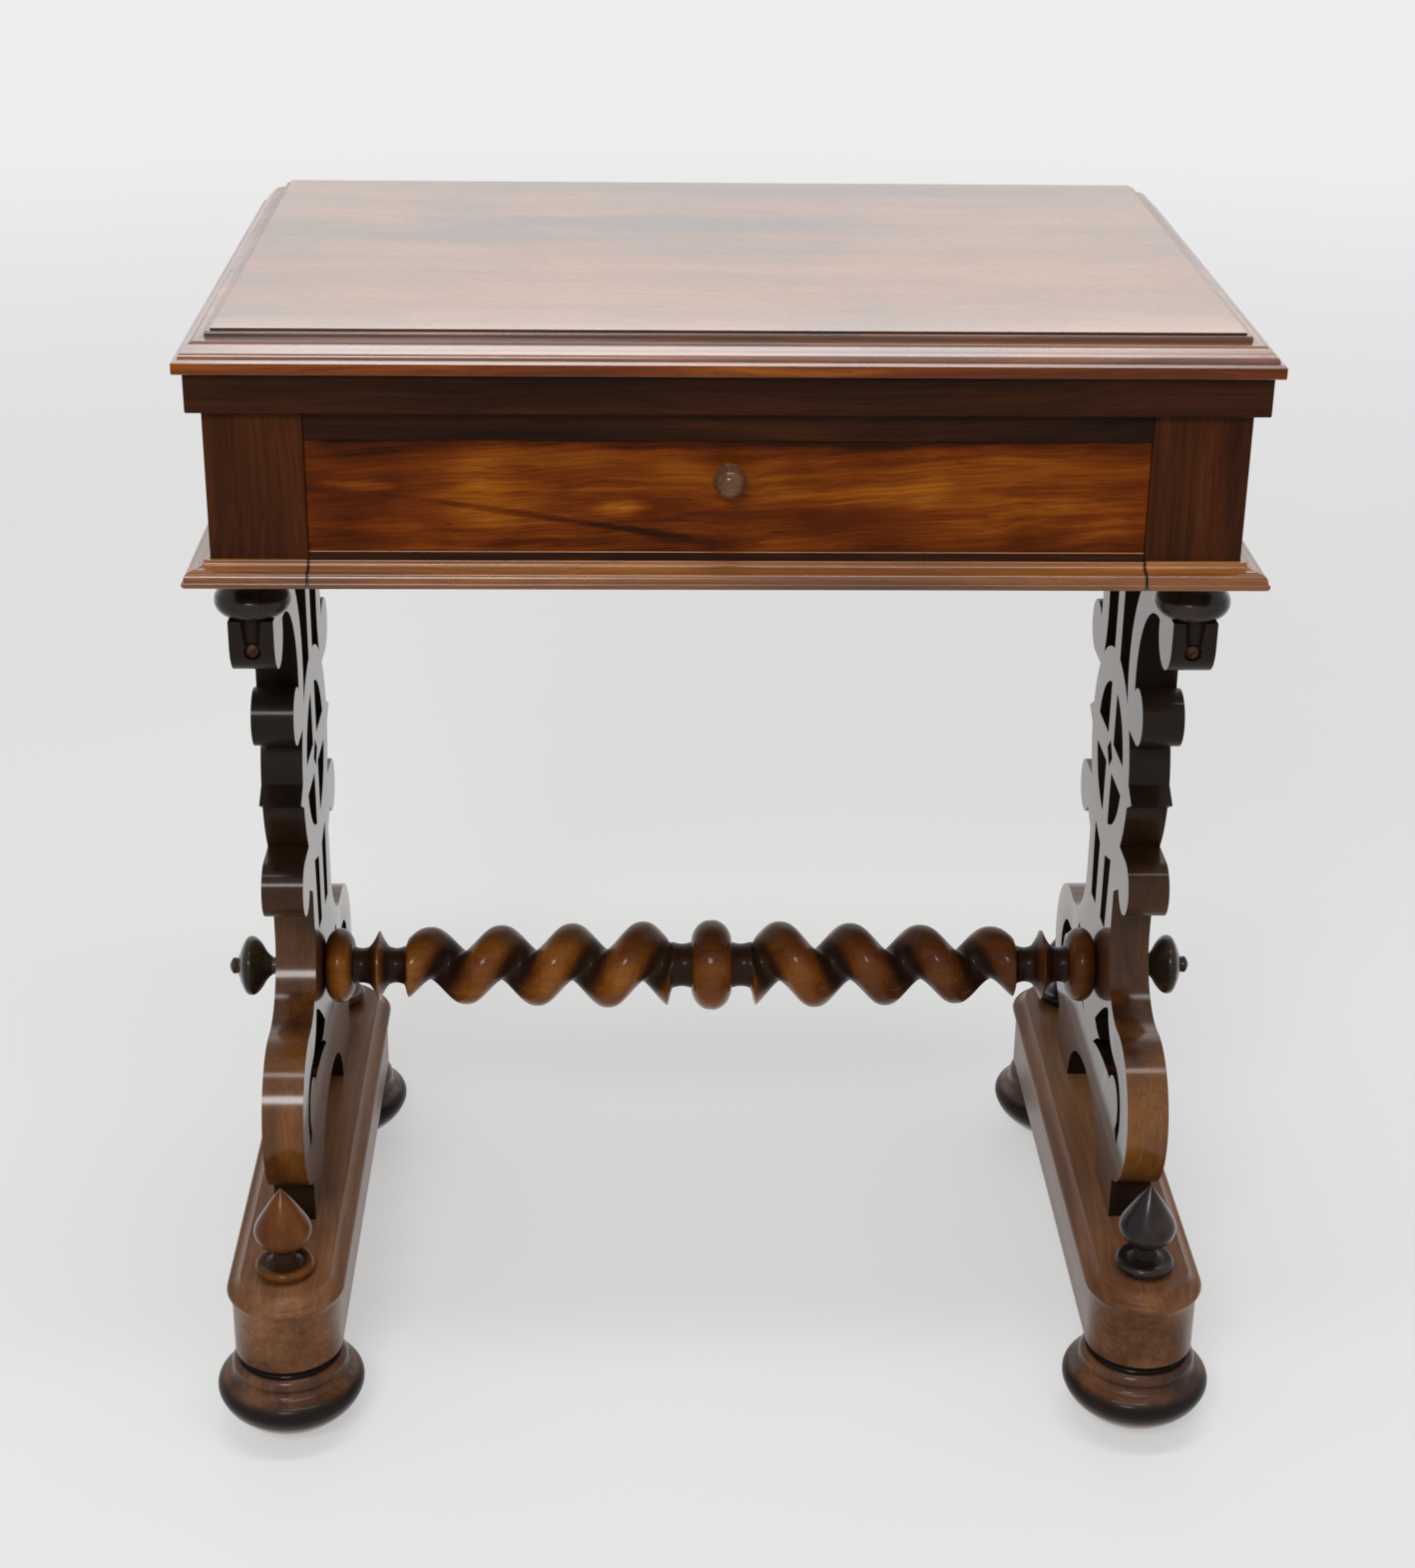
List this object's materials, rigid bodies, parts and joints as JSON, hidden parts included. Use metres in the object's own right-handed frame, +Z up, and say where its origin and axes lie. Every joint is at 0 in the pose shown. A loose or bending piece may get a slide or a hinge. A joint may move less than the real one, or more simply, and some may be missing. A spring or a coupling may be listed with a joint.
{
  "type": "fold-over games table",
  "caption": "Antique rosewood games table: swivelling fold-over top, frieze drawer, fretwork end supports, barley-twist stretcher and bun feet with castors.",
  "frame": {"origin": "on the floor, under the middle of the table", "axes": "+Z up, -Y towards the drawer front, +X to the right of someone facing the drawer"},
  "size_m": [0.6456, 0.45, 0.7204],
  "materials": {
    "rosewood": "french polished",
    "dark_rosewood": "french polished",
    "figured_rosewood": "french polished",
    "ebonised_wood": "polished",
    "lining_wood": "bare",
    "brass": "aged",
    "iron": "dull",
    "baize": "napped"
  },
  "bodies": {
    "base": {"pivot_washer": "iron", "case_side_left": "rosewood", "case_side_right": "rosewood", "front_stile_left": "dark_rosewood", "front_stile_right": "dark_rosewood", "case_back": "rosewood", "top_rail": "dark_rosewood", "pivot_rail": "lining_wood", "dust_board": "lining_wood", "drawer_guide_left": "lining_wood", "drawer_guide_right": "lining_wood", "front_moulding_left": "rosewood", "front_moulding_right": "rosewood", "side_moulding_left": "rosewood", "side_moulding_right": "rosewood", "back_moulding": "rosewood", "end_support_left": "dark_rosewood", "end_support_right": "dark_rosewood", "boss_front_left": "ebonised_wood", "boss_front_right": "ebonised_wood", "boss_back_left": "ebonised_wood", "boss_back_right": "ebonised_wood", "stretcher": "figured_rosewood", "stretcher_knob_left": "ebonised_wood", "stretcher_knob_right": "ebonised_wood", "runner_left": "rosewood", "runner_right": "rosewood", "finial_front_left": "figured_rosewood", "finial_back_left": "figured_rosewood", "finial_front_right": "ebonised_wood", "finial_back_right": "ebonised_wood", "bun_foot_front_left": "ebonised_wood", "bun_foot_front_right": "ebonised_wood", "bun_foot_back_left": "ebonised_wood", "bun_foot_back_right": "ebonised_wood"},
    "top": {"lower_leaf": "dark_rosewood", "baize_lower": "baize", "hinge_lower_left": "brass", "hinge_lower_right": "brass", "pivot_bolt": "iron"},
    "flap": {"upper_leaf": "rosewood", "baize_upper": "baize", "hinge_upper_left": "brass", "hinge_upper_right": "brass"},
    "drawer": {"drawer_front": "figured_rosewood", "drawer_moulding": "rosewood", "drawer_side_left": "lining_wood", "drawer_side_right": "lining_wood", "drawer_back": "lining_wood", "drawer_bottom": "lining_wood", "drawer_knob": "rosewood"},
    "fork_front_left": {"castor_fork_front_left": "brass"},
    "fork_front_right": {"castor_fork_front_right": "brass"},
    "fork_back_left": {"castor_fork_back_left": "brass"},
    "fork_back_right": {"castor_fork_back_right": "brass"},
    "wheel_front_left": {"castor_wheel_front_left": "brass"},
    "wheel_front_right": {"castor_wheel_front_right": "brass"},
    "wheel_back_left": {"castor_wheel_back_left": "brass"},
    "wheel_back_right": {"castor_wheel_back_right": "brass"}
  },
  "joints": [
    {"name": "top_swivel", "type": "hinge", "parent": "base", "child": "top", "pos_m": [0.1015, 0.1015, 0.6769], "axis": [0, 0, 1], "range_deg": [0, 90]},
    {"name": "leaf_fold", "type": "hinge", "parent": "top", "child": "flap", "pos_m": [0, 0.2033, 0.69915], "axis": [-1, 0, 0], "range_deg": [0, 180]},
    {"name": "drawer_slide", "type": "slide", "parent": "base", "child": "drawer", "axis": [0, -1, 0], "range_m": [0, 0.26]},
    {"name": "castor_swivel_front_left", "type": "hinge", "parent": "base", "child": "fork_front_left", "pos_m": [-0.2715, -0.1785, 0.03], "axis": [0, 0, 1], "continuous": true},
    {"name": "castor_swivel_front_right", "type": "hinge", "parent": "base", "child": "fork_front_right", "pos_m": [0.2715, -0.1785, 0.03], "axis": [0, 0, 1], "continuous": true},
    {"name": "castor_swivel_back_left", "type": "hinge", "parent": "base", "child": "fork_back_left", "pos_m": [-0.2715, 0.1785, 0.03], "axis": [0, 0, 1], "continuous": true},
    {"name": "castor_swivel_back_right", "type": "hinge", "parent": "base", "child": "fork_back_right", "pos_m": [0.2715, 0.1785, 0.03], "axis": [0, 0, 1], "continuous": true},
    {"name": "wheel_roll_front_left", "type": "hinge", "parent": "fork_front_left", "child": "wheel_front_left", "pos_m": [-0.2715, -0.1725, 0.0095], "axis": [1, 0, 0], "continuous": true},
    {"name": "wheel_roll_front_right", "type": "hinge", "parent": "fork_front_right", "child": "wheel_front_right", "pos_m": [0.2715, -0.1725, 0.0095], "axis": [1, 0, 0], "continuous": true},
    {"name": "wheel_roll_back_left", "type": "hinge", "parent": "fork_back_left", "child": "wheel_back_left", "pos_m": [-0.2715, 0.1845, 0.0095], "axis": [1, 0, 0], "continuous": true},
    {"name": "wheel_roll_back_right", "type": "hinge", "parent": "fork_back_right", "child": "wheel_back_right", "pos_m": [0.2715, 0.1845, 0.0095], "axis": [1, 0, 0], "continuous": true}
  ]
}
